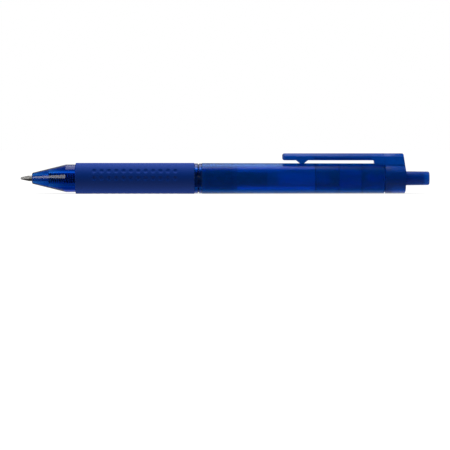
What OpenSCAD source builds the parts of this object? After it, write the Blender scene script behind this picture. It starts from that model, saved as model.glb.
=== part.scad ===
// Retractable gel pen with a ball tip, a cushioned grip, a click mechanism and a sprung clip.
// Millimetres. The pen lies along X with its writing point towards -X and its clip up, +Z.
// A value whose name ends in _at is a distance along the pen from the writing point.

/* [Writing tip] */
// Length of metal that stands out of the nose when the pen is ready to write
tip_reach = 4.0; // [3.2:0.1:4.4]
// Diameter of the writing ball
ball_d = 0.7; // [0.4:0.1:1]
// Diameter of the tip behind its cone
tip_d = 2; // [1.6:0.1:2.2]
// Length of the tip's cone
tip_cone_l = 2.7; // [2:0.1:3.2]

/* [Front section] */
// Diameter of the nose's front face
nose_front_d = 3.8; // [3.6:0.1:4.6]
// Length of the tapered nose
nose_l = 11.9; // [10.5:0.1:13.5]
// Diameter of the neck between the nose and the grip
neck_d = 9.7; // [9.4:0.1:10.2]
// Length of the neck
neck_l = 3.35; // [2:0.05:5]
// Diameter of the core that the grip is stretched over
core_d = 8.5; // [8:0.1:9]
// Length of the ringed collar behind the grip
collar_l = 2.6; // [2:0.1:4]
// Diameter of the collar
collar_d = 10.44; // [10:0.02:10.46]
// Length of the threaded spigot inside the barrel
spigot_l = 12.4; // [8:0.1:16]
// Number of thread ridges on the spigot
thread_n = 9; // [5:1:9]
// Distance from one thread ridge to the next
thread_pitch = 1.1; // [0.8:0.1:1.3]

/* [Grip] */
// Length of the grip
grip_l = 41.55; // [36:0.05:48]
// Outside diameter of the grip
grip_d = 10.78; // [10.6:0.02:12.5]
// Dimples in each row
dimple_n = 12; // [6:1:13]
// Distance from one dimple to the next along a row
dimple_pitch = 2.57; // [2.2:0.01:3]
// Diameter of a dimple at the grip's surface
dimple_d = 1.7; // [1:0.1:2]
// Depth of a dimple
dimple_depth = 0.24; // [0.1:0.02:0.4]
// Angle between the two rows of a patch
row_angle = 29; // [20:1:40]

/* [Barrel] */
// Length of the barrel
barrel_l = 63.9; // [58:0.1:72]
// Outside diameter of the barrel at its front
barrel_front_d = 10.7; // [10.5:0.05:12]
// Outside diameter of the barrel at its rear
barrel_rear_d = 10.46; // [10.3:0.02:12]
// Diameter of the barrel's bore
barrel_bore_d = 8.6; // [8.3:0.1:9]

/* [Rear cap] */
// Length of the rear cap
cap_l = 7.3; // [6.5:0.1:9]
// Width of the block that joins the cap to the clip
cap_block_w = 5.4; // [5:0.1:6]

/* [Clip] */
// Length of the clip from the rear cap to its tip
clip_l = 35.9; // [30:0.1:42]
// Width of the clip
clip_w = 5.1; // [4:0.1:5.2]
// Thickness of the clip's arm
clip_t = 2.45; // [1.8:0.05:3]
// Height of the clip's top above the pen's axis
clip_top = 8.75; // [8.3:0.05:10]
// Length of the clip's root block
clip_root_l = 3.8; // [3:0.1:5]
// Distance from the clip's tip to the middle of its foot
foot_from_tip = 6.9; // [5:0.1:9]
// Width of the stiffening rib under the arm
clip_rib_w = 1; // [0.8:0.1:2]

/* [Button] */
// Length of button that stands out of the rear cap when the pen is ready to write
button_reach = 8.3; // [7:0.1:11]
// Diameter of the button where it leaves the cap
button_d = 4.94; // [4.4:0.02:5]
// Diameter of the button at its end
button_end_d = 4.76; // [4.2:0.02:5]

/* [Click mechanism] */
// Travel of the refill between ready and retracted
click_travel = 5.6; // [5:0.1:6]
// Extra travel past ready that frees the latch
over_travel = 1; // [0.6:0.1:1.2]
// Length of the guide sleeve in front of its lands
guide_front_l = 16.1; // [14:0.1:18]
// Diameter of the rotor's body and of the thrust tube
rotor_d = 5.6; // [5.2:0.1:5.8]
// Diameter across the ribs that ride in the guide's slots
rib_d = 7.4; // [7:0.1:7.5]
// Width of those ribs
rib_w = 1.9; // [1.4:0.1:2.2]
// Height of the slanted ends of the guide's lands
land_slant = 1.2; // [0.8:0.1:1.5]

/* [Refill] */
// Outside diameter of the refill tube
refill_d = 6.1; // [5.8:0.1:6.2]
// Bore of the refill tube
refill_bore_d = 5; // [4.6:0.1:5.2]
// Distance from the writing point to the rear end of the refill
refill_l = 111.2; // [108:0.1:113]
// Distance from the writing point to the end of the ink
ink_end_at = 86.3; // [50:0.1:95]
// Length of the grease plug that follows the ink
follower_l = 3.7; // [2:0.1:6]
// Diameter of the holder that the spring sits round
holder_d = 2.6; // [2.4:0.1:2.7]

/* [Return spring] */
// Outside diameter of the spring
spring_d = 3.5; // [3.4:0.05:3.7]
// Diameter of the spring's wire
wire_d = 0.35; // [0.25:0.05:0.4]
// Number of turns
spring_turns = 18; // [12:1:20]

/* [Clearances] */
// Radial clearance of everything that slides or turns
run_gap = 0.08; // [0.05:0.01:0.1]
// Gap left in a seam between two parts
seam_gap = 0.1; // [0.05:0.05:0.2]
// Gap that keeps a moving part off a face it rests against
rest_gap = 0.02; // [0.01:0.01:0.05]
// Gap between the latch teeth of the rotor and those on either side of it
latch_gap = 0.42; // [0.3:0.02:0.6]

/* [Hidden] */
$fn = 64;
cut = 0.5;

neck_at = tip_reach + nose_l;
grip_at = neck_at + neck_l;
collar_at = grip_at + grip_l;
barrel_at = collar_at + collar_l;
barrel_end = barrel_at + barrel_l;
cap_at = barrel_end + seam_gap;
cap_end = cap_at + cap_l;
button_end = cap_end + button_reach;
origin_at = grip_at + grip_l / 2;
clip_tip_at = cap_at - clip_l;
barrel_r = barrel_front_d / 2;
cap_r = barrel_rear_d / 2;
bore_r = barrel_bore_d / 2;
nose_round = 0.5;
grip_round = 0.45;
seam_chamfer = 0.35;
edge_break = 0.15;

// The spring's seats: one in the nose, one on the holder's flange.
seat_depth = 6;
seat_at = tip_reach + seat_depth;
flange_in_grip = 3.75;
flange_at = grip_at + flange_in_grip;
flange_l = 1;
tube_at = flange_at + flange_l;
plug_l = 5;
stroke_spare = 0.5;
step_at = flange_at - over_travel - stroke_spare;
tip_bore_r = tip_d / 2 + run_gap;
spring_room = 0.2;
spring_bore_r = spring_d / 2 + spring_room;
refill_room = 0.1;
refill_room_r = refill_d / 2 + refill_room;
holder_spare = 0.3;
holder_at = seat_at + over_travel + holder_spare;
stem_r = 0.75;
stem_l = 4;
ink_way_r = 0.4;

// The latch: guide lands, rotor and thrust tube, from front to back.
rotor_lift = 0.05;
rotor_at = refill_l + rotor_lift;
rotor_l = 7.35;
rotor_end = rotor_at + rotor_l;
land_at = rotor_end + latch_gap;
guide_at = land_at - guide_front_l;
guide_in_cap = 2.3;
stop_at = cap_at + guide_in_cap;
crown_at = rotor_end + latch_gap;
collar_end = stop_at - click_travel - seam_gap;
crown_h = 0.85;
crown_n = 8;
rib_n = 4;
slot_r = rib_d / 2 + run_gap;
slot_w = rib_w + 2 * run_gap;
guide_bore_room = 0.05;
guide_bore_r = slot_r + guide_bore_room;
guide_relief = 0.2;
guide_ring_n = 3;
guide_ring_w = 0.35;
guide_ring_pitch = (cap_at - guide_at) / guide_ring_n;
land_r = max(rotor_d, button_d) / 2 + run_gap;
pilot_r = 1.75;
pilot_l = 2.6;
spigot_in_refill_l = 3;
button_round = 0.6;
button_wall = 1.8;
taper_spare = 0.2;
taper_at = cap_end + over_travel + taper_spare;

// The clip's foot and the rounded ends of its outline.
clip_under = clip_top - clip_t;
foot_at = clip_tip_at + foot_from_tip;
foot_top_l = 4.1;
foot_base_l = 1.6;
foot_barrel_r = barrel_r + (cap_r - barrel_r) * (foot_at - barrel_at) / barrel_l;
clip_corner_r = 1.3;
clip_tip_round = 0.8;
rib_start = 1.5;
rib_from = foot_at + foot_top_l / 2 + rib_start;
rib_stop = 1;
plate_t = 1.2;
root_round = 0.3;
clip_root_at = cap_at - clip_root_l;

// Points of a quarter circle of radius r about c, from angle a to angle b.
function arc(c, r, a, b, n = 4) = [for (i = [0:n])
  let (angle = a + (b - a) * i / n)
    c + r * [cos(angle), sin(angle)]];

// Puts a shape that was drawn up the Z axis along the pen.
module along() {
  translate([-origin_at, 0, 0])
    rotate([0, 90, 0])
      children();
}

// Turns an outline of [radius, distance] points round the pen's axis.
module turned(points) {
  along()
    rotate_extrude()
      polygon(points);
}

// A plain tube from one distance to another.
module tube(outer_r, inner_r, from, to) {
  turned([[inner_r, from], [outer_r, from], [outer_r, to], [inner_r, to]]);
}

// Extrudes a side view, drawn as [distance, height] points, across the pen.
module side_view(points, width) {
  translate([-origin_at, width / 2, 0])
    rotate([90, 0, 0])
      linear_extrude(width)
        polygon(points);
}

// Radial bars of the given width, out to a radius, between two distances.
module bars(width, outer_r, from, to) {
  along()
    translate([0, 0, from])
      linear_extrude(to - from)
        bar_outline(width, outer_r);
}

module bar_outline(width, outer_r) {
  intersection() {
    circle(outer_r);
    for (i = [0:rib_n - 1])
      rotate(i * 360 / rib_n)
        translate([0, -width / 2])
          square([outer_r + 1, width]);
  }
}

// Wedges that stick out along the radius; each outline is [sideways, distance] points.
module wedges(points, count, first_angle, reach) {
  along()
    for (i = [0:count - 1])
      rotate([0, 0, first_angle + i * 360 / count])
        rotate([90, 0, 90])
          linear_extrude(reach)
            polygon(points);
}

module front_section() {
  ridge = thread_pitch / 4;
  crest_r = bore_r - rest_gap;
  thread_depth = 0.3;
  root_r = crest_r - thread_depth;
  thread_lead_in = 1.2;
  thread_at = barrel_at + thread_lead_in;
  groove_depth = 0.4;
  groove_half_w = 0.25;
  groove_share = 0.54;
  groove_at = collar_at + collar_l * groove_share;
  color("RoyalBlue")
    turned(concat(
      [[tip_bore_r, tip_reach]],
      arc([nose_front_d / 2 - nose_round, tip_reach + nose_round], nose_round, -90, -13),
      [[neck_d / 2, neck_at], [neck_d / 2, grip_at], [core_d / 2, grip_at], [core_d / 2, collar_at]],
      [[collar_d / 2, collar_at], [collar_d / 2, groove_at - groove_half_w]],
      [[collar_d / 2 - groove_depth, groove_at], [collar_d / 2, groove_at + groove_half_w]],
      [[collar_d / 2, barrel_at - edge_break], [collar_d / 2 - edge_break, barrel_at]],
      [[crest_r, barrel_at], [crest_r, thread_at]],
      [for (i = [0:thread_n - 1]) each [
        [crest_r, thread_at + i * thread_pitch],
        [root_r, thread_at + i * thread_pitch + ridge],
        [root_r, thread_at + i * thread_pitch + 2 * ridge],
        [crest_r, thread_at + i * thread_pitch + 3 * ridge]]],
      [[crest_r, barrel_at + spigot_l], [refill_room_r, barrel_at + spigot_l]],
      [[refill_room_r, step_at], [spring_bore_r, step_at]],
      [[spring_bore_r, seat_at], [tip_bore_r, seat_at]]));
}

module grip_sleeve() {
  ball_r = (pow(dimple_d / 2, 2) + pow(dimple_depth, 2)) / (2 * dimple_depth);
  ball_out = grip_d / 2 - dimple_depth + ball_r;
  first_at = grip_at + (grip_l - (dimple_n - 1) * dimple_pitch) / 2;
  patch_n = 3;
  color("MidnightBlue")
    difference() {
      turned(concat(
        [[core_d / 2, grip_at]],
        arc([grip_d / 2 - grip_round, grip_at + grip_round], grip_round, -90, 0),
        [[grip_d / 2, collar_at - edge_break], [grip_d / 2 - edge_break, collar_at]],
        [[core_d / 2, collar_at]]));
      along()
        for (patch = [0:patch_n - 1])
          for (row = [0:1])
            rotate([0, 0, -90 - patch * 360 / patch_n - row * row_angle])
              for (i = [0:dimple_n - 1])
                translate([ball_out, 0, first_at + i * dimple_pitch])
                  sphere(ball_r);
    }
}

module barrel() {
  color("Blue")
    turned([
      [bore_r, barrel_at],
      [barrel_r - edge_break, barrel_at],
      [barrel_r, barrel_at + edge_break],
      [cap_r, barrel_end - seam_chamfer / 2],
      [cap_r - seam_chamfer, barrel_end],
      [bore_r, barrel_end]]);
}

module rear_cap() {
  // The bowed rear face: how far each point lies in front of the cap's end, and its height.
  rear_face = [
    [0.6, -cap_r - 1], [0.45, -cap_r], [0.15, -cap_r * 0.83], [0, cap_r * 0.45],
    [0.35, cap_r * 0.98], [0.85, clip_top - 0.45], [1.2, clip_top]];
  color("SlateBlue")
    difference() {
      intersection() {
        union() {
          turned([
            [0, cap_at],
            [cap_r - seam_chamfer, cap_at],
            [cap_r, cap_at + seam_chamfer / 2],
            [cap_r, cap_end + 1],
            [0, cap_end + 1]]);
          translate([cap_at - origin_at, -cap_block_w / 2, 0])
            cube([cap_l, cap_block_w, clip_top]);
        }
        side_view(concat(
          [[cap_at, clip_top], [cap_at, -cap_r - 1]],
          [for (point = rear_face) [cap_end - point[0], point[1]]]), 2 * cap_r + 2);
      }
      tube(bore_r, 0, cap_at - cut, stop_at);
      tube(button_d / 2 + run_gap, 0, cap_at, cap_end + 1);
    }
}

module cam_guide() {
  color("LightSteelBlue")
    difference() {
      along()
        translate([0, 0, guide_at])
          linear_extrude(stop_at - guide_at)
            difference() {
              circle(bore_r);
              circle(land_r);
              bar_outline(slot_w, slot_r);
            }
      tube(guide_bore_r, 0, guide_at - cut, land_at);
      for (i = [0:guide_ring_n - 1])
        tube(
          bore_r + cut,
          bore_r - guide_relief,
          guide_at + i * guide_ring_pitch + guide_ring_w,
          guide_at + (i + 1) * guide_ring_pitch - guide_ring_w);
      intersection() {
        tube(guide_bore_r, 0, land_at - cut, land_at + 2 * land_slant);
        wedges([
          [-slot_r / 2, land_at - cut],
          [slot_r / 2, land_at - cut],
          [slot_r / 2, land_at + land_slant],
          [-slot_r / 2, land_at]], rib_n, 360 / rib_n / 2, slot_r + cut);
      }
    }
}

module clip_arm() {
  color("CornflowerBlue")
    difference() {
      intersection() {
        side_view(concat(
          [[foot_at - foot_top_l / 2, clip_under]],
          arc([clip_tip_at + clip_tip_round, clip_under + clip_tip_round], clip_tip_round, 270, 180),
          arc([clip_tip_at + clip_tip_round, clip_top - clip_tip_round], clip_tip_round, 180, 90),
          [[cap_at - rest_gap, clip_top], [cap_at - rest_gap, 0], [clip_root_at, 0]],
          [[clip_root_at, clip_under - root_round], [clip_root_at - root_round, clip_under]],
          [[foot_at + foot_top_l / 2, clip_under], [foot_at + foot_base_l / 2, foot_barrel_r + rest_gap]],
          [[foot_at - foot_base_l / 2, foot_barrel_r + rest_gap]]), clip_w);
        translate([-origin_at, 0, 0])
          linear_extrude(clip_top + 1)
            clip_plan();
      }
      // The moulding is cored on both sides of its rib.
      for (side = [-1, 1])
        translate([rib_from - origin_at, side > 0 ? clip_rib_w / 2 : -clip_w, clip_under - cut])
          cube([clip_root_at - rib_stop - rib_from, clip_w - clip_rib_w / 2, clip_t - plate_t + cut]);
      tube(barrel_r + rest_gap, 0, clip_root_at - cut, cap_at);
    }
}

// The clip seen from above, with rounded corners at its tip.
module clip_plan() {
  translate([clip_tip_at + clip_corner_r, -clip_w / 2])
    square([clip_l, clip_w]);
  translate([clip_tip_at, clip_corner_r - clip_w / 2])
    square([clip_l, clip_w - 2 * clip_corner_r]);
  for (side = [-1, 1])
    translate([clip_tip_at + clip_corner_r, side * (clip_w / 2 - clip_corner_r)])
      circle(clip_corner_r);
}

module push_button() {
  tooth_half_w = crown_h * 1.1;
  color("DodgerBlue")
    difference() {
      union() {
        turned(concat(
          [[0, crown_at], [rotor_d / 2, crown_at], [rotor_d / 2, collar_end], [button_d / 2, collar_end]],
          [[button_d / 2, taper_at]],
          arc([button_end_d / 2 - button_round, button_end - button_round], button_round, 0, 90),
          [[0, button_end]]));
        bars(rib_w, rib_d / 2, crown_at, collar_end);
      }
      tube(pilot_r + run_gap, 0, crown_at - cut, button_end - button_wall);
      wedges([
        [-tooth_half_w, crown_at - cut],
        [tooth_half_w, crown_at - cut],
        [tooth_half_w, crown_at],
        [0, crown_at + crown_h],
        [-tooth_half_w, crown_at]], crown_n, 360 / crown_n / 2, rib_d);
    }
}

module cam_rotor() {
  rib_slant = land_slant * rib_w / slot_r;
  rib_setback = 1.8;
  rib_root = 0.2;
  vent_r = 0.8;
  color("White")
    difference() {
      union() {
        turned([
          [0, refill_l - spigot_in_refill_l],
          [refill_bore_d / 2 - run_gap, refill_l - spigot_in_refill_l],
          [refill_bore_d / 2 - run_gap, rotor_at],
          [rotor_d / 2, rotor_at],
          [rotor_d / 2, rotor_end],
          [pilot_r, rotor_end],
          [pilot_r, rotor_end + pilot_l],
          [0, rotor_end + pilot_l]]);
        difference() {
          bars(rib_w, rib_d / 2, rotor_at + rib_setback, rotor_end);
          tube(rotor_d / 2 - rib_root, 0, rotor_at, rotor_end + cut);
          wedges([
            [-rib_w, rotor_end + cut],
            [rib_w, rotor_end + cut],
            [rib_w, rotor_end + rib_slant / 2],
            [-rib_w, rotor_end - rib_slant * 1.5]], rib_n, 0, rib_d);
        }
      }
      tube(vent_r, 0, rotor_at - spigot_in_refill_l - cut, rotor_end + pilot_l + cut);
    }
}

module return_spring() {
  steps = 14;
  sides = 6;
  dead = 1.5;
  closed_pitch = 1.06;
  wire_r = wire_d / 2;
  mean_r = spring_d / 2 - wire_r;
  room = flange_at - seat_at - wire_d;
  closed = wire_d * closed_pitch;
  pitch = (room - 2 * dead * closed) / (spring_turns - 2 * dead);
  last = spring_turns * steps;
  // Height of the wire after t turns: closed coils at both ends, open ones between.
  function rise(t) = closed * min(t, dead) + pitch * max(0, min(t, spring_turns - dead) - dead)
    + closed * max(0, t - spring_turns + dead);
  points = [for (i = [0:last]) for (k = [0:sides - 1])
    let (turn = i / steps, a = 360 * turn, b = 360 * k / sides, r = mean_r + wire_r * cos(b))
      [r * cos(a), r * sin(a), seat_at + wire_r + rise(turn) + wire_r * sin(b)]];
  walls = [for (i = [0:last - 1]) for (k = [0:sides - 1])
    let (n = (k + 1) % sides)
      [i * sides + k, i * sides + n, (i + 1) * sides + n, (i + 1) * sides + k]];
  first_end = [for (k = [0:sides - 1]) sides - 1 - k];
  last_end = [for (k = [0:sides - 1]) last * sides + k];
  color("Silver")
    along()
      polyhedron(points, concat(walls, [first_end, last_end]), convexity = 10);
}

module refill_tube() {
  color("WhiteSmoke")
    tube(refill_d / 2, refill_bore_d / 2, tube_at, refill_l);
}

module gel_ink() {
  color("Navy")
    tube(refill_bore_d / 2, 0, tube_at + plug_l, ink_end_at);
}

module ink_follower() {
  color("Khaki")
    tube(refill_bore_d / 2, 0, ink_end_at, ink_end_at + follower_l);
}

module tip_holder() {
  flange_chamfer = 0.2;
  funnel_r = 1.5;
  funnel_l = 2;
  color("Gainsboro")
    turned([
      [stem_r, holder_at],
      [holder_d / 2 - edge_break, holder_at],
      [holder_d / 2, holder_at + edge_break],
      [holder_d / 2, flange_at],
      [refill_d / 2 - flange_chamfer, flange_at],
      [refill_d / 2, flange_at + flange_chamfer],
      [refill_d / 2, tube_at],
      [refill_bore_d / 2, tube_at],
      [refill_bore_d / 2, tube_at + plug_l],
      [funnel_r, tube_at + plug_l],
      [ink_way_r, tube_at + plug_l - funnel_l],
      [ink_way_r, holder_at + stem_l],
      [stem_r, holder_at + stem_l]]);
}

module writing_tip() {
  ball_r = ball_d / 2;
  ball_room = 0.01;
  rim_wall = 0.06;
  rim_share = 0.7;
  rim_at = ball_r * rim_share;
  color("Goldenrod")
    turned([
      [ball_r + ball_room, rim_at],
      [ball_r + ball_room + rim_wall, rim_at],
      [tip_d / 2, rim_at + tip_cone_l],
      [tip_d / 2, holder_at],
      [stem_r, holder_at],
      [stem_r, holder_at + stem_l],
      [ink_way_r, holder_at + stem_l],
      [ink_way_r, rim_at + tip_cone_l],
      [ball_r / 2, rim_at + ball_d],
      [ball_r + ball_room, ball_r + rim_wall]]);
}

module writing_ball() {
  color("DimGray")
    along()
      translate([0, 0, ball_d / 2])
        sphere(ball_d / 2);
}

front_section();
grip_sleeve();
barrel();
rear_cap();
cam_guide();
clip_arm();
push_button();
cam_rotor();
return_spring();
refill_tube();
gel_ink();
ink_follower();
tip_holder();
writing_tip();
writing_ball();
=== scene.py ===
from math import atan2, ceil, cos, hypot, pi, radians, sin, tan

import bmesh
import bpy
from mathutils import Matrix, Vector


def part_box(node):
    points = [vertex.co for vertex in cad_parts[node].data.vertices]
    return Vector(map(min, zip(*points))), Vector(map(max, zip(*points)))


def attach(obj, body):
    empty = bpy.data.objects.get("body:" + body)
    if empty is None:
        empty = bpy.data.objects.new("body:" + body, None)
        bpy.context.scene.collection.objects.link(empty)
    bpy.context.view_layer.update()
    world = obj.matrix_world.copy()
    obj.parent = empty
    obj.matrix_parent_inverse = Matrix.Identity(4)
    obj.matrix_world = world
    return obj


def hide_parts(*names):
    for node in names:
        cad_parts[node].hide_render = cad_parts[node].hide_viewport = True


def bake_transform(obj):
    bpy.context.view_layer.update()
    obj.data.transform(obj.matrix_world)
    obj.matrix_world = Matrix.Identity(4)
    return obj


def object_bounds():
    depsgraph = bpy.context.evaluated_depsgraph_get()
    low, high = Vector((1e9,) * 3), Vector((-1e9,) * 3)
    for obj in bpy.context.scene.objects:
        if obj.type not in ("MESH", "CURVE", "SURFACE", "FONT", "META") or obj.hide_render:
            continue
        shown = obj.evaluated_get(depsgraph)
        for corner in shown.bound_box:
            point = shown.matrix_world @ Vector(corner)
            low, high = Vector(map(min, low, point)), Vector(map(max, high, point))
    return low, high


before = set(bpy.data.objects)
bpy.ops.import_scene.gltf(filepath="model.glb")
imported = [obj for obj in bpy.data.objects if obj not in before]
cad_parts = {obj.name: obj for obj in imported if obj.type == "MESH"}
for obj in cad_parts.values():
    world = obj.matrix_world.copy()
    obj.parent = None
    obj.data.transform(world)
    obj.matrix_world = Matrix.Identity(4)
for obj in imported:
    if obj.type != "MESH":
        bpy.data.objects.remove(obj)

mm = 0.001
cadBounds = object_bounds()
print("frame loaded", [round(v / mm, 2) for corner in cadBounds for v in corner])

# where each part begins and ends along X, in mm
frontOf = {}
backOf = {}
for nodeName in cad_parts:
    lowCorner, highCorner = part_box(nodeName)
    frontOf[nodeName] = lowCorner.x / mm
    backOf[nodeName] = highCorner.x / mm
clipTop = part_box("clip_arm")[1].z / mm
lowestZ = cadBounds[0].z / mm


# mesh tools: lengths in mm, meshes in metres

def roundCorners(corners, closed=True, stepAngle=12):
    # corners are (x, y, fillet radius); the result is a list of (x, y)
    straight = radians(179)
    share = 0.49  # of a side, so that the roundings at its two ends don't meet
    outline = []
    count = len(corners)
    for i, (x, y, fillet) in enumerate(corners):
        here = Vector((x, y))
        if fillet <= 0 or (not closed and i in (0, count - 1)):
            outline.append((x, y))
            continue
        toBefore = Vector(corners[i - 1][:2]) - here
        toAfter = Vector(corners[(i + 1) % count][:2]) - here
        opening = toBefore.angle(toAfter)
        if opening > straight:
            outline.append((x, y))
            continue
        reach = min(fillet / tan(opening / 2), toBefore.length * share, toAfter.length * share)
        radius = reach * tan(opening / 2)
        inward = (toBefore.normalized() + toAfter.normalized()).normalized()
        centre = here + inward * (radius / sin(opening / 2))
        first = here + toBefore.normalized() * reach - centre
        last = here + toAfter.normalized() * reach - centre
        turn = first.angle_signed(last)
        steps = max(2, ceil(abs(turn) / radians(stepAngle)))
        startAngle = atan2(first.y, first.x)
        for k in range(steps + 1):
            angle = startAngle - turn * k / steps
            outline.append((centre.x + radius * cos(angle), centre.y + radius * sin(angle)))
    return outline


def meshPiece(name, points, faces):
    mesh = bpy.data.meshes.new(name)
    mesh.from_pydata([[v * mm for v in p] for p in points], [], faces)
    piece = bpy.data.objects.new(name, mesh)
    bpy.context.scene.collection.objects.link(piece)
    faceOutwards(piece)
    return piece


def faceOutwards(piece, mergeGap=0.0005):
    # points closer than mergeGap mm become one
    work = bmesh.new()
    work.from_mesh(piece.data)
    bmesh.ops.remove_doubles(work, verts=work.verts, dist=mergeGap * mm)
    bmesh.ops.recalc_face_normals(work, faces=work.faces)
    work.to_mesh(piece.data)
    work.free()


def smoothShade(piece, sharpAngle=30):
    piece.data.shade_smooth()
    piece.data.set_sharp_from_angle(angle=radians(sharpAngle))
    return piece


def turnedPiece(name, outline, around=128, warp=None):
    # outline is (x, radius) from one end round to the other; a radius of 0 closes an end on the axis
    points, rings = [], []
    for x, radius in outline:
        if radius < 1e-6:
            rings.append([len(points)])
            points.append((x, 0, 0))
            continue
        rings.append(range(len(points), len(points) + around))
        for k in range(around):
            angle = 2 * pi * k / around
            r = warp(x, radius, angle) if warp else radius
            points.append((x, r * cos(angle), r * sin(angle)))
    pairs = list(zip(rings, rings[1:]))
    if outline[0][1] > 0:
        pairs.append((rings[-1], rings[0]))
    faces = []
    for a, b in pairs:
        for k in range(around):
            n = (k + 1) % around
            if len(a) == 1:
                faces.append((a[0], b[n], b[k]))
            elif len(b) == 1:
                faces.append((a[k], a[n], b[0]))
            else:
                faces.append((a[k], a[n], b[n], b[k]))
    return smoothShade(meshPiece(name, points, faces))


def prism(outline, low, high, along):
    # along "X": outline is (y, z); along "Y": (x, z); along "Z": (x, y)
    turned = {
        "X": lambda u, v, w: (w, u, v),
        "Y": lambda u, v, w: (u, w, v),
        "Z": lambda u, v, w: (u, v, w),
    }[along]
    count = len(outline)
    points = [turned(u, v, w) for w in (low, high) for u, v in outline]
    faces = [tuple(range(count))[::-1], tuple(range(count, 2 * count))]
    faces += [(k, (k + 1) % count, (k + 1) % count + count, k + count) for k in range(count)]
    return meshPiece("tool", points, faces)


def applyModifiers(piece):
    shaped = piece.evaluated_get(bpy.context.evaluated_depsgraph_get())
    mesh = bpy.data.meshes.new_from_object(shaped)
    piece.modifiers.clear()
    piece.data = mesh
    return piece


def combine(piece, tool, operation):
    step = piece.modifiers.new("combine", "BOOLEAN")
    step.operation = operation
    step.solver = "EXACT"
    step.object = tool
    applyModifiers(piece)
    bpy.data.objects.remove(tool)
    return piece


def softenEdges(piece, width, segments=3, angle=30, flatAngle=0.5):
    # faces within flatAngle degrees of each other are joined first, so that only real edges are rounded
    work = bmesh.new()
    work.from_mesh(piece.data)
    bmesh.ops.dissolve_limit(work, angle_limit=radians(flatAngle), verts=work.verts, edges=work.edges)
    work.to_mesh(piece.data)
    work.free()
    step = piece.modifiers.new("soften", "BEVEL")
    step.width = width * mm
    step.segments = segments
    step.limit_method = "ANGLE"
    step.angle_limit = radians(angle)
    step.harden_normals = False
    return applyModifiers(piece)


def cutAcross(piece, positions, onPlane=1e-7, mergeGap=0.002):
    # extra rings of vertices, so that the piece can bend; points closer than mergeGap mm become one
    work = bmesh.new()
    work.from_mesh(piece.data)
    for x in positions:
        bmesh.ops.bisect_plane(
            work, geom=work.verts[:] + work.edges[:] + work.faces[:], dist=onPlane,
            plane_co=(x * mm, 0, 0), plane_no=(1, 0, 0))
    bmesh.ops.remove_doubles(work, verts=work.verts, dist=mergeGap * mm)
    bmesh.ops.dissolve_degenerate(work, edges=work.edges, dist=mergeGap * mm)
    work.to_mesh(piece.data)
    work.free()


def place(piece, material, body=None, stands=()):
    # a piece that bends between two bodies gets no body here
    piece.data.materials.clear()
    piece.data.materials.append(material)
    if stands:
        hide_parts(*stands)
    if body:
        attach(piece, body)
    return piece


# barrel sizes, which its material shares

barrel = {
    "bore": 4.325, "frontRadius": 5.35, "backRadius": 5.23, "notch": 0.34,
    "seamEdge": 0.14, "seamDepth": 0.12, "rings": 3, "ringWidth": 0.45, "ringDepth": 0.25, "ringSlope": 0.2,
    "threads": 9, "threadFrom": 1.4, "threadPitch": 1.1, "threadWidth": 0.5,
}


# material tools

def linearColour(hexColour, alpha=1.0):
    channels = [int(hexColour[i:i + 2], 16) / 255 for i in (1, 3, 5)]
    return [c / 12.92 if c <= 0.04045 else ((c + 0.055) / 1.055) ** 2.4 for c in channels] + [alpha]


def addNode(tree, kind, settings=None, links=None):
    # a key names a socket, or numbers one where several share a name, or else is a setting of the node
    node = tree.nodes.new("ShaderNode" + kind)
    for key, value in (settings or {}).items():
        if isinstance(key, int) or key in node.inputs:
            node.inputs[key].default_value = value
        else:
            setattr(node, key, value)
    for key, (source, output) in (links or {}).items():
        tree.links.new(source.outputs[output], node.inputs[key])
    return node


def newMaterial(name, settings):
    material = bpy.data.materials.new(name)
    material.use_nodes = True
    tree = material.node_tree
    tree.nodes.clear()
    shader = addNode(tree, "BsdfPrincipled", settings)
    output = addNode(tree, "OutputMaterial", links={"Surface": (shader, "BSDF")})
    output.name = "Material Output"
    return material, tree, shader


def perMetre(sizeMm):
    # a noise scale whose features are about this big
    return 1 / (sizeMm * mm)


def unevenSkin(tree, shader, finish):
    # a fine grain, as a mould's steel leaves, over slow waves where the material sank or flowed; all in mm
    spot = addNode(tree, "TexCoord")
    wave = addNode(tree, "TexNoise", {
        "Scale": perMetre(finish["wave"]), "Detail": 1.0}, {"Vector": (spot, "Object")})
    grain = addNode(tree, "TexNoise", {
        "Scale": perMetre(finish["grain"]), "Detail": 2.0}, {"Vector": (spot, "Object")})
    slow = addNode(tree, "Bump", {
        "Strength": 1.0, "Distance": finish["waveDepth"] * mm}, {"Height": (wave, "Fac")})
    fine = addNode(tree, "Bump", {
        "Strength": 1.0, "Distance": finish["grainDepth"] * mm},
        {"Height": (grain, "Fac"), "Normal": (slow, "Normal")})
    tree.links.new(fine.outputs["Normal"], shader.inputs["Normal"])
    return grain


def tintThrough(tree, colour, perMm):
    # dye through the whole section: thick plastic is deep blue and a thin wall is pale
    dye = addNode(tree, "VolumeAbsorption", {"Color": linearColour(colour), "Density": perMm / mm})
    tree.links.new(dye.outputs["Volume"], tree.nodes["Material Output"].inputs["Volume"])


def clearPolycarbonate():
    # polished mould: a hard clear shell, the parts inside seen sharply, and a coat that gives the long
    # highlight on the nose
    finish = {
        "face": "#5496d6", "dye": "#36bce6", "dyePerMm": 0.66, "roughness": 0.04,
        "polish": 0.5, "polishBlur": 0.12, "grain": 0.4, "grainDepth": 0.0001, "wave": 4, "waveDepth": 0.0015,
    }
    material, tree, shader = newMaterial("polycarbonateMouldedClearBlue", {
        "Base Color": linearColour(finish["face"]), "Roughness": finish["roughness"],
        "IOR": 1.585, "Transmission Weight": 1.0,
        "Coat Weight": finish["polish"], "Coat Roughness": finish["polishBlur"]})
    unevenSkin(tree, shader, finish)
    tintThrough(tree, finish["dye"], finish["dyePerMm"])
    return material


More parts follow.
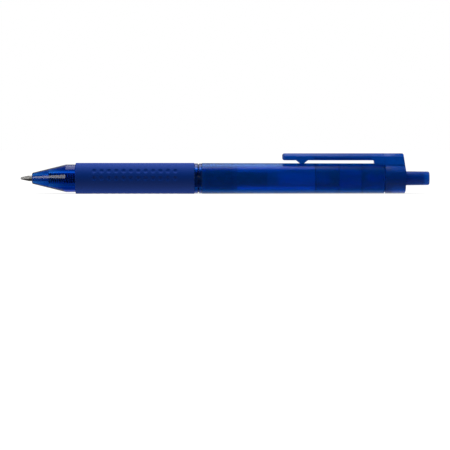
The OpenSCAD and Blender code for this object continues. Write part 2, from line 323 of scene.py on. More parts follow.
def stripes(tree, alongX, start, end, pitch, width):
    # 1 on bands across the pen, width mm wide and pitch mm apart, between start and end
    offset = addNode(tree, "Math", {"operation": "SUBTRACT", 1: start * mm}, {0: (alongX, "X")})
    phase = addNode(tree, "Math", {"operation": "WRAP", 1: pitch * mm, 2: 0.0}, {0: (offset, "Value")})
    band = addNode(tree, "Math", {"operation": "LESS_THAN", 1: width * mm}, {0: (phase, "Value")})
    after = addNode(tree, "Math", {"operation": "GREATER_THAN", 1: 0.0}, {0: (offset, "Value")})
    before = addNode(tree, "Math", {
        "operation": "LESS_THAN", 1: (end - start) * mm}, {0: (offset, "Value")})
    within = addNode(tree, "Math", {"operation": "MULTIPLY"}, {0: (after, "Value"), 1: (before, "Value")})
    return addNode(tree, "Math", {"operation": "MULTIPLY"}, {0: (band, "Value"), 1: (within, "Value")})


def frostedPolycarbonate():
    # spark-eroded mould: a satin skin that blurs what lies behind it, with painted shade: darker bands
    # painted on the wall where the thread and the guide's three rings touch it from inside
    finish = {
        "tint": "#007ae4", "paintedContactShade": "#006ed6", "roughness": 0.22, "clear": 0.86,
        "grain": 0.12, "grainDepth": 0.0012, "wave": 6, "waveDepth": 0.004,
    }
    material, tree, shader = newMaterial("polycarbonateMouldedFrostedBlue", {
        "Roughness": finish["roughness"], "IOR": 1.585, "Transmission Weight": finish["clear"]})
    spot = addNode(tree, "TexCoord")
    alongX = addNode(tree, "SeparateXYZ", {}, {"Vector": (spot, "Object")})
    guide = frontOf["cam_guide"]
    back = backOf["barrel"]
    ringPitch = (back - guide) / barrel["rings"]
    # they stop 1 mm short, or another ring would begin at the barrel's very end
    rings = stripes(tree, alongX, guide, back - 1, ringPitch, barrel["ringWidth"])
    threadStart = frontOf["barrel"] + barrel["threadFrom"]
    threadEnd = threadStart + barrel["threads"] * barrel["threadPitch"]
    threads = stripes(tree, alongX, threadStart, threadEnd, barrel["threadPitch"], barrel["threadWidth"])
    # painted shade: these bands get a darker colour, standing in for the shade where inner parts meet the
    # wall
    contactShadeBands = addNode(tree, "Math", {"operation": "MAXIMUM"}, {0: (rings, "Value"), 1: (threads, "Value")})
    colour = addNode(tree, "ValToRGB", {}, {"Fac": (contactShadeBands, "Value")})
    colour.color_ramp.elements[0].color = linearColour(finish["tint"])
    colour.color_ramp.elements[1].color = linearColour(finish["paintedContactShade"])
    tree.links.new(colour.outputs["Color"], shader.inputs["Base Color"])
    unevenSkin(tree, shader, finish)
    return material


def satinBlue():
    # the same plastic in a thick section: deep colour, a satin face, and a coat that lights the upper edges
    finish = {
        "tint": "#005cd6", "roughness": 0.28, "clear": 0.5, "polish": 0.6, "polishBlur": 0.22,
        "grain": 0.12, "grainDepth": 0.0012, "wave": 6, "waveDepth": 0.004,
    }
    material, tree, shader = newMaterial("polycarbonateMouldedSatinBlue", {
        "Base Color": linearColour(finish["tint"]), "Roughness": finish["roughness"],
        "IOR": 1.585, "Transmission Weight": finish["clear"],
        "Coat Weight": finish["polish"], "Coat Roughness": finish["polishBlur"]})
    unevenSkin(tree, shader, finish)
    return material


def innerPolycarbonate():
    # the works inside: thin clear walls with a light tint, so that they show only as faint lines
    finish = {
        "tint": "#84bce0", "roughness": 0.12,
        "grain": 0.2, "grainDepth": 0.001, "wave": 5, "waveDepth": 0.004,
    }
    material, tree, shader = newMaterial("polycarbonateMouldedPaleBlue", {
        "Base Color": linearColour(finish["tint"]), "Roughness": finish["roughness"],
        "IOR": 1.585, "Transmission Weight": 1.0})
    unevenSkin(tree, shader, finish)
    return material


def siliconeRubber():
    # moulded in a blasted tool: soft, matt and slightly dusty, with a broad dull sheen
    finish = {
        "base": "#0645b4", "dust": "#124fc0", "dustFrom": 0.35, "dustTo": 0.8, "roughness": 0.58,
        "sheen": 0.06, "sheenBlur": 0.35, "grain": 0.15, "grainDepth": 0.004, "wave": 5, "waveDepth": 0.01,
    }
    material, tree, shader = newMaterial("siliconeMouldedMatt", {
        "Roughness": finish["roughness"], "IOR": 1.43,
        "Sheen Weight": finish["sheen"], "Sheen Roughness": finish["sheenBlur"]})
    grain = unevenSkin(tree, shader, finish)
    colour = addNode(tree, "ValToRGB", links={"Fac": (grain, "Fac")})
    colour.color_ramp.elements[0].position = finish["dustFrom"]
    colour.color_ramp.elements[0].color = linearColour(finish["base"])
    colour.color_ramp.elements[1].position = finish["dustTo"]
    colour.color_ramp.elements[1].color = linearColour(finish["dust"])
    tree.links.new(colour.outputs["Color"], shader.inputs["Base Color"])
    return material


def naturalPolypropylene():
    # extruded, no pigment: milky, slightly greasy, light passes through
    finish = {
        "tint": "#e4ebf2", "roughness": 0.2, "clear": 0.88,
        "grain": 0.3, "grainDepth": 0.001, "wave": 5, "waveDepth": 0.004,
    }
    material, tree, shader = newMaterial("polypropyleneExtrudedNatural", {
        "Base Color": linearColour(finish["tint"]), "Roughness": finish["roughness"],
        "IOR": 1.49, "Transmission Weight": finish["clear"]})
    unevenSkin(tree, shader, finish)
    return material


def gelInk():
    # pigment gel wetting the tube: nearly black, with a wet shine
    finish = {
        "tint": "#061a70", "roughness": 0.12,
        "grain": 1.2, "grainDepth": 0.002, "wave": 8, "waveDepth": 0.01,
    }
    material, tree, shader = newMaterial("inkGelPigmentBlue", {
        "Base Color": linearColour(finish["tint"]), "Roughness": finish["roughness"], "IOR": 1.36})
    unevenSkin(tree, shader, finish)
    return material


def clearGrease():
    # the plug of grease behind the ink: clear, faintly yellow
    finish = {
        "tint": "#e8e2bc", "roughness": 0.1, "clear": 0.9,
        "grain": 1.0, "grainDepth": 0.003, "wave": 6, "waveDepth": 0.01,
    }
    material, tree, shader = newMaterial("greaseFollowerClear", {
        "Base Color": linearColour(finish["tint"]), "Roughness": finish["roughness"],
        "IOR": 1.45, "Transmission Weight": finish["clear"]})
    unevenSkin(tree, shader, finish)
    return material


def ringedMetal(name, colour, roughness, pitchMm, depthMm):
    # rings across the pen's length, as a turning tool leaves; drawn coarser than real ones so that they show
    radiansPerUnit = 20  # how fast a wave node's bands run at scale 1
    material, tree, shader = newMaterial(name, {
        "Base Color": linearColour(colour), "Roughness": roughness, "Metallic": 1.0})
    spot = addNode(tree, "TexCoord")
    rings = addNode(tree, "TexWave", {
        "wave_type": "BANDS", "bands_direction": "X", "Distortion": 0.6,
        "Scale": 2 * pi / radiansPerUnit * perMetre(pitchMm)},
        {"Vector": (spot, "Object")})
    groove = addNode(tree, "Bump", {"Strength": 1.0, "Distance": depthMm * mm}, {"Height": (rings, "Fac")})
    tree.links.new(groove.outputs["Normal"], shader.inputs["Normal"])
    return material


materials = {
    "clear": clearPolycarbonate(),
    "frosted": frostedPolycarbonate(),
    "satin": satinBlue(),
    "inner": innerPolycarbonate(),
    "silicone": siliconeRubber(),
    "natural": naturalPolypropylene(),
    "ink": gelInk(),
    "grease": clearGrease(),
    # turned on a lathe: bright and pale, with the dull sheen of the tool's rings
    "tip": ringedMetal("nickelSilverTurned", "#f0eeea", 0.45, 0.754, 0.0015),
    # spring wire, drawn through a die: painted darker than bright steel as painted shade, dark grey coils,
    # each with one soft line of light
    "wire": ringedMetal("springWireDrawn", "#46484c", 0.45, 0.314, 0.001),
    # lapped round and smooth: a small dark mirror
    "carbide": ringedMetal("tungstenCarbideLapped", "#6a6a6e", 0.15, 0.314, 0.0002),
}
print("materials made")


# front section: nose, neck, the core under the grip, collar and thread

frontSection = {
    "tipHole": 1.08, "noseFace": 1.9, "noseRound": 0.5, "neck": 4.85, "neckLength": 3.35, "neckRound": 0.5,
    "core": 4.235, "collar": 5.22, "ringEdge": 0.16,
    "grooveAt": 0.54, "grooveDepth": 0.42, "grooveHalf": 0.24,
    "threadCrest": 4.28, "threadRoot": 4.12, "threadPitch": 1.1, "threadStart": 1.2, "threadLength": 10.0,
    "threadFade": 0.8, "stepsPerTurn": 12,
    "springRoom": 1.95, "springSeat": 6.0, "refillRoom": 3.15, "refillStep": 17.5,
}


def makeFrontSection():
    s = frontSection
    front, back = frontOf["front_section"], backOf["front_section"]
    gripFront, gripBack, barrelFront = frontOf["grip_sleeve"], backOf["grip_sleeve"], frontOf["barrel"]
    neckX = gripFront - s["neckLength"]
    groove = gripBack + (barrelFront - gripBack) * s["grooveAt"]
    threadFrom = barrelFront + s["threadStart"]
    threadTo = threadFrom + s["threadLength"]
    corners = [
        (front, s["tipHole"], 0.1), (front, s["noseFace"], s["noseRound"]),
        (neckX, s["neck"], s["neckRound"]), (gripFront, s["neck"], 0.15),
        (gripFront, s["core"], 0.1), (gripBack, s["core"], 0.1),
        (gripBack, s["collar"], s["ringEdge"]), (groove - s["grooveHalf"], s["collar"], 0.1),
        (groove, s["collar"] - s["grooveDepth"], 0.08), (groove + s["grooveHalf"], s["collar"], 0.1),
        (barrelFront, s["collar"], s["ringEdge"]), (barrelFront, s["threadCrest"], 0.06),
        (threadFrom, s["threadCrest"], 0)]
    steps = int(s["threadLength"] / s["threadPitch"] * s["stepsPerTurn"])
    corners += [
        (threadFrom + s["threadLength"] * (k + 1) / (steps + 1), s["threadCrest"], 0) for k in range(steps)]
    corners += [
        (threadTo, s["threadCrest"], 0), (back, s["threadCrest"], 0.3),
        (back, s["refillRoom"], 0.2), (front + s["refillStep"], s["refillRoom"], 0.1),
        (front + s["refillStep"], s["springRoom"], 0.2), (front + s["springSeat"], s["springRoom"], 0.15),
        (front + s["springSeat"], s["tipHole"], 0.1)]

    def thread(x, radius, angle):
        # flat crests and roots with sloped flanks, fading out at both ends
        if radius < s["threadCrest"] - 0.001 or not threadFrom < x < threadTo:
            return radius
        phase = ((x - threadFrom) / s["threadPitch"] - angle / (2 * pi)) % 1
        depth = min(1, max(0, (0.5 - abs(phase - 0.5)) * 4 - 0.5))
        fade = min(1, (x - threadFrom) / s["threadFade"], (threadTo - x) / s["threadFade"])
        return radius - (s["threadCrest"] - s["threadRoot"]) * depth * fade

    piece = turnedPiece("frontSection", roundCorners(corners), 144, thread)
    return place(piece, materials["clear"], "housing", ["front_section"])


makeFrontSection()
print("front section made")


# grip: a silicone sleeve with three patches of two dimpled rows

grip = {
    "bore": 4.255, "outside": 5.39, "frontRound": 0.45, "backRound": 0.16,
    "dimple": 1.7, "depth": 0.32, "perRow": 12, "pitch": 2.57, "patches": 3, "rowAngle": 29,
    "bowlReach": 0.9, "rimReach": 1.15, "cellsAlong": 260, "cellsAround": 288,
}


def makeGrip():
    s = grip
    front, back = frontOf["grip_sleeve"], backOf["grip_sleeve"]
    firstX = (front + back) / 2 - (s["perRow"] - 1) * s["pitch"] / 2
    rowAngles = [
        radians(180 + 360 * patch / s["patches"] - row * s["rowAngle"])
        for patch in range(s["patches"]) for row in (0, 1)]
    skinLength = back - s["backRound"] - front - s["frontRound"]
    # many rings along the plain skin, for the dimples to sink into
    skin = [
        (front + s["frontRound"] + skinLength * k / s["cellsAlong"], s["outside"], 0)
        for k in range(1, s["cellsAlong"])]
    corners = [(front, s["bore"], 0.1), (front, s["outside"], s["frontRound"])] + skin
    corners += [(back, s["outside"], s["backRound"]), (back, s["bore"], 0.1)]

    def dimpled(x, radius, angle):
        if radius < s["outside"] - 0.001:
            return radius
        row = min(range(len(rowAngles)), key=lambda i: abs((angle - rowAngles[i] + pi) % (2 * pi) - pi))
        sideways = ((angle - rowAngles[row] + pi) % (2 * pi) - pi) * radius
        number = min(max(round((x - firstX) / s["pitch"]), 0), s["perRow"] - 1)
        # a round bowl, whose rim eases into the skin; away is 1 at the dimple's edge
        bowlReach = s["bowlReach"]
        rimReach = s["rimReach"]
        away = hypot(x - firstX - number * s["pitch"], sideways) / (s["dimple"] / 2)
        if away > rimReach:
            return radius
        if away < bowlReach:
            bowl = 1 - away ** 2
        else:
            bowl = (1 - bowlReach ** 2) * ((rimReach - away) / (rimReach - bowlReach)) ** 2
        return radius - s["depth"] * bowl

    piece = turnedPiece("gripSleeve", roundCorners(corners), s["cellsAround"], dimpled)
    return place(piece, materials["silicone"], "housing", ["grip_sleeve"])


makeGrip()
print("grip made")


# barrel

def makeBarrel():
    s = barrel
    front, back = frontOf["barrel"], backOf["barrel"]
    corners = [
        (front, s["bore"], 0.08), (front, s["frontRadius"] - s["seamDepth"], 0.05),
        (front + s["seamEdge"], s["frontRadius"], 0.1), (back - s["notch"] / 2, s["backRadius"], 0.06),
        (back, s["backRadius"] - s["notch"], 0.05), (back, s["bore"], 0.08)]
    ringPitch = (back - frontOf["cam_guide"]) / s["rings"]
    width = s["ringWidth"]
    deep = s["bore"] + s["ringDepth"]
    for k in reversed(range(s["rings"])):
        x = frontOf["cam_guide"] + k * ringPitch
        corners += [
            (x + width, s["bore"], 0), (x + width * (1 - s["ringSlope"]), deep, 0.1),
            (x + width * s["ringSlope"], deep, 0.1), (x, s["bore"], 0)]
    piece = turnedPiece("barrelTube", roundCorners(corners), 144)
    return place(piece, materials["frosted"], "housing", ["barrel"])


makeBarrel()
print("barrel made")


# rear cap and clip, one moulding

cap = {
    "radius": 5.23, "notch": 0.34, "blockWidth": 5.4, "bevel": 1.15,
    "rearSlant": 1.2, "edge": 0.22, "seam": 0.05,
    "guideRoom": 4.32, "guideDepth": 2.3, "buttonHole": 2.55,
    "recessAt": 3.75, "recessLength": 3.3, "recessWidth": 1.6, "recessDepth": 0.25,
}
clip = {
    "width": 5.1, "thickness": 2.45, "tipRound": 0.8, "cornerRound": 1.3,
    "rootLength": 3.8, "rootRound": 0.45,
    "footFromTip": 6.9, "footTop": 4.1, "footBase": 1.6, "footHeight": 5.3,
    "plate": 1.4, "bevel": 1.1, "grooveStart": 4.0, "grooveDepth": 0.5, "lip": 0.3, "lipSlope": 0.4,
    "overBarrel": 5.26, "bendLength": 16.0, "bendStep": 0.5,
}


def bevelledTop(half, low, top, bevel):
    # a bar's section, its upper edges sloped at about 45 degrees and slightly rounded
    return roundCorners([
        (-half, low, 0), (half, low, 0), (half, top - bevel, 0.5), (half - bevel, top, 0.5),
        (bevel - half, top, 0.5), (-half, top - bevel, 0.5)])


def makeCapAndClip():
    c, s = cap, clip
    front, back, top = frontOf["rear_cap"], backOf["rear_cap"], clipTop
    # cap and block are made 2 mm too long, and sideView cuts them to the rear face
    piece = turnedPiece("rearCapAndClip", roundCorners([
        (front, 0, 0), (front, c["radius"] - c["notch"], 0), (front + c["notch"] / 2, c["radius"], 0.05),
        (back + 2, c["radius"], 0), (back + 2, 0, 0)], closed=False), 144)
    block = prism(bevelledTop(c["blockWidth"] / 2, 1, top, c["bevel"]), front, back + 2, "X")
    combine(piece, block, "UNION")
    # the rear face curls in below the button and slants forward above it: how far in, how high, rounding
    beyond = 9  # past every side of the cap
    rearFace = [
        (0.6, -beyond, 0), (0.42, -c["radius"], 0.3), (0.12, -c["radius"] + 1.0, 1.5),
        (0, c["radius"] * 0.45, 4), (0.35, c["radius"] * 0.98, 3),
        (0.85, top - 0.4, 0.3), (c["rearSlant"], top, 0.35)]
    rearOutline = [(back - inwards, height, rounding) for inwards, height, rounding in rearFace]
    sideView = prism(
        roundCorners([(front - 1, -beyond, 0)] + rearOutline + [(front - 1, top, 0)]), -beyond, beyond, "Y")
    combine(piece, sideView, "INTERSECT")
    recessX = front + c["recessAt"]
    oval = [
        (recessX + c["recessLength"] / 2 * cos(radians(a)), c["recessWidth"] / 2 * sin(radians(a)))
        for a in range(0, 360, 10)]
    recess = prism(oval, top - c["recessDepth"], top + 1, "Z")
    combine(piece, recess, "DIFFERENCE")
    tip = frontOf["clip_arm"]
    under = top - s["thickness"]
    root = front - s["rootLength"]
    foot = tip + s["footFromTip"]
    arm = prism(roundCorners([
        (front + 1.0, 3, 0), (root, 3, 0), (root, under, s["rootRound"]),
        (foot + s["footTop"] / 2, under, 0.25), (foot + s["footBase"] / 2, s["footHeight"], 0.3),
        (foot - s["footBase"] / 2, s["footHeight"], 0.3), (foot - s["footTop"] / 2, under, 0.25),
        (tip, under, s["tipRound"]), (tip, top, s["tipRound"]), (front + 1.0, top, 0)]),
        -s["width"] / 2, s["width"] / 2, "Y")
    plan = prism(roundCorners([
        (front + 2, -s["width"] / 2, 0), (front + 2, s["width"] / 2, 0),
        (tip, s["width"] / 2, s["cornerRound"]), (tip, -s["width"] / 2, s["cornerRound"])]), 0, top + 2, "Z")
    combine(arm, plan, "INTERSECT")
    section = prism(bevelledTop(s["width"] / 2, 0, top, s["bevel"]), tip - 1, front + 3, "X")
    combine(arm, section, "INTERSECT")
    lipTop = under + s["lip"]
    plateBase = top - s["plate"]
    for side in (-1, 1):
        edge = side * s["width"] / 2
        inner = side * (s["width"] / 2 - s["grooveDepth"])
        outer = side * s["width"]
        groove = prism([
            (outer, lipTop), (edge, lipTop), (inner, lipTop + s["lipSlope"]),
            (inner, plateBase), (outer, plateBase)], foot + s["grooveStart"], root - 1, "X")
        combine(arm, groove, "DIFFERENCE")
    combine(piece, arm, "UNION")
    softenEdges(piece, c["edge"])
    # the saddle over the barrel ends just short of the head's front face, so that the two don't coincide
    saddleBack = front - c["seam"]
    saddle = turnedPiece("tool", [
        (root - 1, 0), (root - 1, s["overBarrel"]), (saddleBack, s["overBarrel"]), (saddleBack, 0)], 144)
    combine(piece, saddle, "DIFFERENCE")
    room = turnedPiece("tool", [
        (front - 1, 0), (front - 1, c["guideRoom"]), (front + c["guideDepth"], c["guideRoom"]),
        (front + c["guideDepth"], c["buttonHole"]), (back + 1, c["buttonHole"]), (back + 1, 0)], 144)
    combine(piece, room, "DIFFERENCE")
    cutAcross(piece, [front - s["bendStep"] * k for k in range(1, int(s["bendLength"] / s["bendStep"]))])
    smoothShade(piece)
    place(piece, materials["satin"], None, ["rear_cap", "clip_arm"])
    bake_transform(piece)
    return piece


makeCapAndClip()
print("cap and clip made")


# button with its thrust tube

button = {
    "tube": 2.8, "tubeBore": 1.83, "shaft": 2.47, "end": 2.38, "endRound": 0.6,
    "shoulder": 5.0, "wall": 1.8, "hiddenDepth": 6.2, "straight": 1.2,
}


def makeButton():
    s = button
    front, back = frontOf["push_button"], backOf["push_button"]
    # the tube inside the guide is clear; the rest, from inside the cap to the end, is satin
    change = backOf["rear_cap"] - s["hiddenDepth"]
    piece = turnedPiece("pushButton", roundCorners([
        (back - s["wall"], 0, 0), (back - s["wall"], s["tubeBore"], 0.2), (change, s["tubeBore"], 0),
        (front, s["tubeBore"], 0.05), (front, s["tube"], 0.05), (front + s["shoulder"], s["tube"], 0.1),
        (front + s["shoulder"], s["shaft"], 0.1), (change, s["shaft"], 0),
        (backOf["rear_cap"] + s["straight"], s["shaft"], 0.5), (back, s["end"], s["endRound"]), (back, 0, 0)],
        closed=False), 96)
    place(piece, materials["satin"], "button", ["push_button"])
    piece.data.materials.append(materials["inner"])
    for face in piece.data.polygons:
        face.material_index = int(face.center.x < change * mm)
    return piece


makeButton()
print("button made")


# return spring: closed coils at both ends, open ones between

spring = {
    "outside": 1.75, "wire": 0.35, "turns": 18, "dead": 1.5, "closedPitch": 1.06, "held": 0.4,
    "stepsPerTurn": 36, "sides": 10,
}


def makeSpring():
    s = spring
    front, back = frontOf["return_spring"], backOf["return_spring"]
    wire = s["wire"] / 2
    closed = s["wire"] * s["closedPitch"]
    pitch = (back - front - s["wire"] - 2 * s["dead"] * closed) / (s["turns"] - 2 * s["dead"])

    def rise(turn):
        frontTurns = min(turn, s["dead"])
        openTurns = max(0, min(turn, s["turns"] - s["dead"]) - s["dead"])
        backTurns = max(0, turn - s["turns"] + s["dead"])
        return closed * frontTurns + pitch * openTurns + closed * backTurns

    points, faces = [], []
    last = s["turns"] * s["stepsPerTurn"]
    for i in range(last + 1):
        turn = i / s["stepsPerTurn"]
        for k in range(s["sides"]):
            b = 2 * pi * k / s["sides"]
            r = s["outside"] - wire + wire * cos(b)
            a = 2 * pi * turn
            points.append((front + wire + rise(turn) + wire * sin(b), r * sin(a), -r * cos(a)))
    for i in range(last):
        for k in range(s["sides"]):
            n = (k + 1) % s["sides"]
            a = i * s["sides"]
            faces.append((a + k, a + n, a + n + s["sides"], a + k + s["sides"]))
    faces += [tuple(range(s["sides"])), tuple(range(last * s["sides"], (last + 1) * s["sides"]))]
    piece = smoothShade(meshPiece("returnSpring", points, faces))
    place(piece, materials["wire"], None, ["return_spring"])
    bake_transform(piece)
    return piece


makeSpring()
print("spring made")


# refill: tube, ink, follower, tip

refill = {"outside": 3.05, "bore": 2.5, "inkRadius": 2.49, "meniscus": 0.5, "inkGap": 0.02}
tipShape = {
    "radius": 1.0, "coneLength": 2.7, "rim": 0.42, "stem": 0.75, "bore": 0.4,
    "seat": 0.36, "seatDepth": 0.4, "throat": 0.18, "throatX": 0.7,
}


def makeRefill():
    s = refill
    tubeFront, tubeBack = frontOf["refill_tube"], backOf["refill_tube"]
    tube = turnedPiece("refillTube", roundCorners([
        (tubeFront, s["bore"], 0.1), (tubeFront, s["outside"], 0.12),
        (tubeBack, s["outside"], 0.12), (tubeBack, s["bore"], 0.1)]), 96)
    place(tube, materials["natural"], "refill", ["refill_tube"])
    # ink and grease are hollow at the rear, as liquids are that wet a tube, and grease fills the ink's hollow
    inkFront, inkBack = frontOf["gel_ink"], backOf["gel_ink"]
    hollow = s["meniscus"]
    ringDepth, ringRadius = hollow * 0.6, s["inkRadius"] * 0.6
    ink = turnedPiece("gelInk", roundCorners([
        (inkFront, 0, 0), (inkFront, s["inkRadius"], 0.2), (inkBack, s["inkRadius"], 0),
        (inkBack - ringDepth, ringRadius, 1.0), (inkBack - hollow, 0, 0)], closed=False), 96)
    place(ink, materials["ink"], "refill", ["gel_ink"])
    greaseFront, greaseBack = inkBack + s["inkGap"], backOf["ink_follower"]
    grease = turnedPiece("inkFollower", roundCorners([
        (greaseFront - hollow, 0, 0), (greaseFront - ringDepth, ringRadius, 1.0),
        (greaseFront, s["inkRadius"], 0), (greaseBack, s["inkRadius"], 0),
        (greaseBack - ringDepth, ringRadius, 1.0), (greaseBack - hollow, 0, 0)], closed=False), 96)
    place(grease, materials["grease"], "refill", ["ink_follower"])


def makeTip():
    s = tipShape
    point = frontOf["writing_ball"]
    front, back = frontOf["writing_tip"], backOf["writing_tip"]
    shoulderX = frontOf["tip_holder"]
    coneX = front + s["coneLength"]
    tip = turnedPiece("writingTip", roundCorners([
        (front, s["seat"], 0.01), (front, s["rim"], 0.03), (coneX, s["radius"], 0.5),
        (shoulderX, s["radius"], 0.1), (shoulderX, s["stem"], 0.05), (back, s["stem"], 0.1),
        (back, s["bore"], 0.05), (coneX, s["bore"], 0.1), (front + s["throatX"], s["throat"], 0.05),
        (point + s["seatDepth"], s["seat"], 0.02)]), 96)
    place(tip, materials["tip"], "refill", ["writing_tip"])


makeRefill()
makeTip()
print("refill made")


# CAD parts that keep their shape and get their finish

for nodeName, materialName in (
        ("cam_guide", "inner"), ("cam_rotor", "inner"),
        ("tip_holder", "natural"), ("writing_ball", "carbide")):
    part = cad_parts[nodeName]
    part.data.materials.clear()
    part.data.materials.append(materials[materialName])
print("inner parts finished")


# floor, light and camera: these sizes and places are in metres

studio = {
    "floorSize": 6.0, "floorColour": "#505050", "floorSeen": 1.04, "floorShadow": 0.5, "shadowReach": 0.03,
    "frontGlow": 0.03, "backGlow": 0.48, "stripFront": -0.02, "stripBack": 0.0,
    "skyColour": "#ffffff", "behindGlow": 0.45, "frontEdge": 0.1, "backEdge": 1.0,
    "innerLight": 1.0, "lowEdge": -0.2, "highEdge": 0.9, "endsFrom": 0.5, "endsTo": 0.9, "endsGlow": 0.3,
}
overhead = {"width": 0.27, "depth": 0.62, "height": 0.6, "x": -0.035, "y": 0.21, "radiance": 1.15}
overheadFill = {"width": 0.9, "depth": 0.9, "height": 0.6, "x": 0.02, "y": 0.05, "radiance": 1.5}
# x, y and z are this lamp's direction from a spot on the nose, aimAt mm behind its front
noseLamp = {
    "x": -0.45, "y": -0.83, "z": 0.27, "aimAt": 8, "distance": 0.6,
    "width": 0.22, "height": 0.3, "radiance": 2.2,
}


def makeFloor():
    # white to the eye, with a painted soft shadow under the pen from ambient occlusion; as light it is dark
    # in front and pale behind
    s = studio
    size = s["floorSize"] / mm / 2
    corners = [(x * size, y * size, lowestZ) for x, y in ((-1, -1), (1, -1), (1, 1), (-1, 1))]
    floorPiece = meshPiece("floor", corners, [(0, 1, 2, 3)])
    material, tree, shader = newMaterial("paperSweepWhite", {
        "Base Color": linearColour(s["floorColour"]), "Roughness": 0.9, "Specular IOR Level": 0.0,
        "Emission Color": linearColour("#ffffff")})
    # painted shadow: ambient occlusion dims the floor's glow near the pen
    paintedShadow = addNode(tree, "AmbientOcclusion", {"Distance": s["shadowReach"], "samples": 16})
    seen = addNode(tree, "MapRange", {
        "To Min": s["floorShadow"], "To Max": s["floorSeen"]}, {"Value": (paintedShadow, "AO")})
    spot = addNode(tree, "TexCoord")
    across = addNode(tree, "SeparateXYZ", {}, {"Vector": (spot, "Object")})
    strip = addNode(tree, "MapRange", {
        "interpolation_type": "SMOOTHSTEP", "From Min": s["stripFront"], "From Max": s["stripBack"],
        "To Min": s["frontGlow"], "To Max": s["backGlow"]}, {"Value": (across, "Y")})
    path = addNode(tree, "LightPath")
    glow = addNode(tree, "Mix", {}, {
        "Factor": (seenDirectly(tree, path), "Value"), "A": (strip, "Result"), "B": (seen, "Result")})
    tree.links.new(glow.outputs["Result"], shader.inputs["Emission Strength"])
    material.cycles.emission_sampling = "NONE"
    floorPiece.data.materials.append(material)
    floorPiece.visible_glossy = False
    return floorPiece


def seenDirectly(tree, path):
    # 1 where the eye meets the backdrop, straight or through clear plastic, and 0 once light has scattered
    clear = addNode(tree, "Math", {"operation": "MAXIMUM"}, {
        0: (path, "Is Camera Ray"), 1: (path, "Is Transmission Ray")})
    return addNode(tree, "Math", {"operation": "SUBTRACT", "use_clamp": True}, {
        0: (clear, "Value"), 1: (path, "Diffuse Depth")})


def makeWorld():
    # white to the eye; as light it is a room dark in front, with a pale wall behind and dimmer ends,
    # and the parts inside are lit from above
    s = studio
    world = bpy.data.worlds.new("studioWorld")
    world.use_nodes = True
    tree = world.node_tree
    tree.nodes.clear()
    path = addNode(tree, "LightPath")
    spot = addNode(tree, "TexCoord")
    direction = addNode(tree, "SeparateXYZ", {}, {"Vector": (spot, "Generated")})
    behind = addNode(tree, "MapRange", {
        "interpolation_type": "SMOOTHSTEP", "From Min": s["frontEdge"], "From Max": s["backEdge"],
        "To Min": 0.0, "To Max": s["behindGlow"]}, {"Value": (direction, "Y")})
    above = addNode(tree, "MapRange", {
        "interpolation_type": "SMOOTHSTEP", "From Min": s["lowEdge"], "From Max": s["highEdge"],
        "To Min": 0.0, "To Max": s["innerLight"]}, {"Value": (direction, "Z")})
    inner = addNode(tree, "Math", {"operation": "MULTIPLY"}, {
        0: (above, "Result"), 1: (path, "Is Transmission Ray")})
    alongPen = addNode(tree, "Math", {"operation": "ABSOLUTE"}, {0: (direction, "X")})
    ends = addNode(tree, "MapRange", {
        "interpolation_type": "SMOOTHSTEP", "From Min": s["endsFrom"], "From Max": s["endsTo"],
        "To Min": 0.0, "To Max": s["endsGlow"]}, {"Value": (alongPen, "Value")})
    walls = addNode(tree, "Math", {"operation": "MAXIMUM"}, {0: (behind, "Result"), 1: (ends, "Result")})
    room = addNode(tree, "Math", {"operation": "MAXIMUM"}, {0: (walls, "Value"), 1: (inner, "Value")})
    strength = addNode(tree, "Math", {"operation": "MAXIMUM"}, {
        0: (room, "Value"), 1: (seenDirectly(tree, path), "Value")})
    backdrop = addNode(
        tree, "Background", {"Color": linearColour(s["skyColour"])}, {"Strength": (strength, "Value")})
    addNode(tree, "OutputWorld", links={"Surface": (backdrop, "Background")})
    bpy.context.scene.world = world


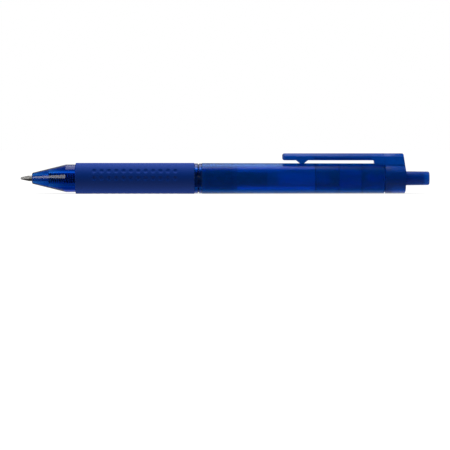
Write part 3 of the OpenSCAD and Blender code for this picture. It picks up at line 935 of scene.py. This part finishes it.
def makeLight(name, width, depth, position, target, radiance):
    data = bpy.data.lights.new(name, "AREA")
    data.shape = "RECTANGLE"
    data.size, data.size_y = width, depth
    data.energy = radiance * pi * width * depth  # watts
    lamp = bpy.data.objects.new(name, data)
    bpy.context.scene.collection.objects.link(lamp)
    lamp.location = position
    lamp.rotation_mode = "QUATERNION"
    lamp.rotation_quaternion = (Vector(target) - Vector(position)).to_track_quat("-Z", "Y")
    return lamp


# sensor, frameWidth and below are in mm: frameWidth is what the frame spans at the pen, and below is how
# far the frame's middle is under the pen's axis
camera = {"distance": 1.2, "elevation": 1.5, "frameWidth": 157.5, "below": 16.35, "sensor": 36.0, "reach": 20}


def makeCamera():
    s = camera
    data = bpy.data.cameras.new("camera")
    data.sensor_width = s["sensor"]
    data.lens = s["sensor"] * s["distance"] / (s["frameWidth"] * mm)
    data.clip_end = s["reach"]
    view = bpy.data.objects.new("camera", data)
    bpy.context.scene.collection.objects.link(view)
    middleX = (cadBounds[0].x + cadBounds[1].x) / 2
    target = Vector((middleX, 0, -s["below"] * mm))
    tilt = radians(s["elevation"])
    view.location = target + Vector((0, -cos(tilt), sin(tilt))) * s["distance"]
    view.rotation_mode = "QUATERNION"
    view.rotation_quaternion = (target - view.location).to_track_quat("-Z", "Y")
    bpy.context.scene.camera = view


def makeLights():
    makeLight("overheadSoftbox", overhead["width"], overhead["depth"],
              (overhead["x"], overhead["y"], overhead["height"]), (overhead["x"], overhead["y"], 0),
              overhead["radiance"])
    fill = makeLight("overheadFill", overheadFill["width"], overheadFill["depth"],
                     (overheadFill["x"], overheadFill["y"], overheadFill["height"]),
                     (overheadFill["x"], overheadFill["y"], 0), overheadFill["radiance"])
    fill.visible_glossy = False
    fill.visible_transmission = False
    nose = Vector(((frontOf["front_section"] + noseLamp["aimAt"]) * mm, 0, 0))
    towardsLamp = Vector((noseLamp["x"], noseLamp["y"], noseLamp["z"]))
    side = makeLight("noseLamp", noseLamp["width"], noseLamp["height"],
                     nose + towardsLamp * noseLamp["distance"], nose, noseLamp["radiance"])
    side.visible_diffuse = False
    side.visible_transmission = False
    lit = bpy.data.collections.new("noseLampLights")
    for name in ("frontSection", "writingTip"):
        lit.objects.link(bpy.data.objects[name])
    side.light_linking.receiver_collection = lit


makeFloor()
makeWorld()
makeLights()
makeCamera()
bpy.context.scene.view_settings.view_transform = "Standard"
print("floor, light and camera made")
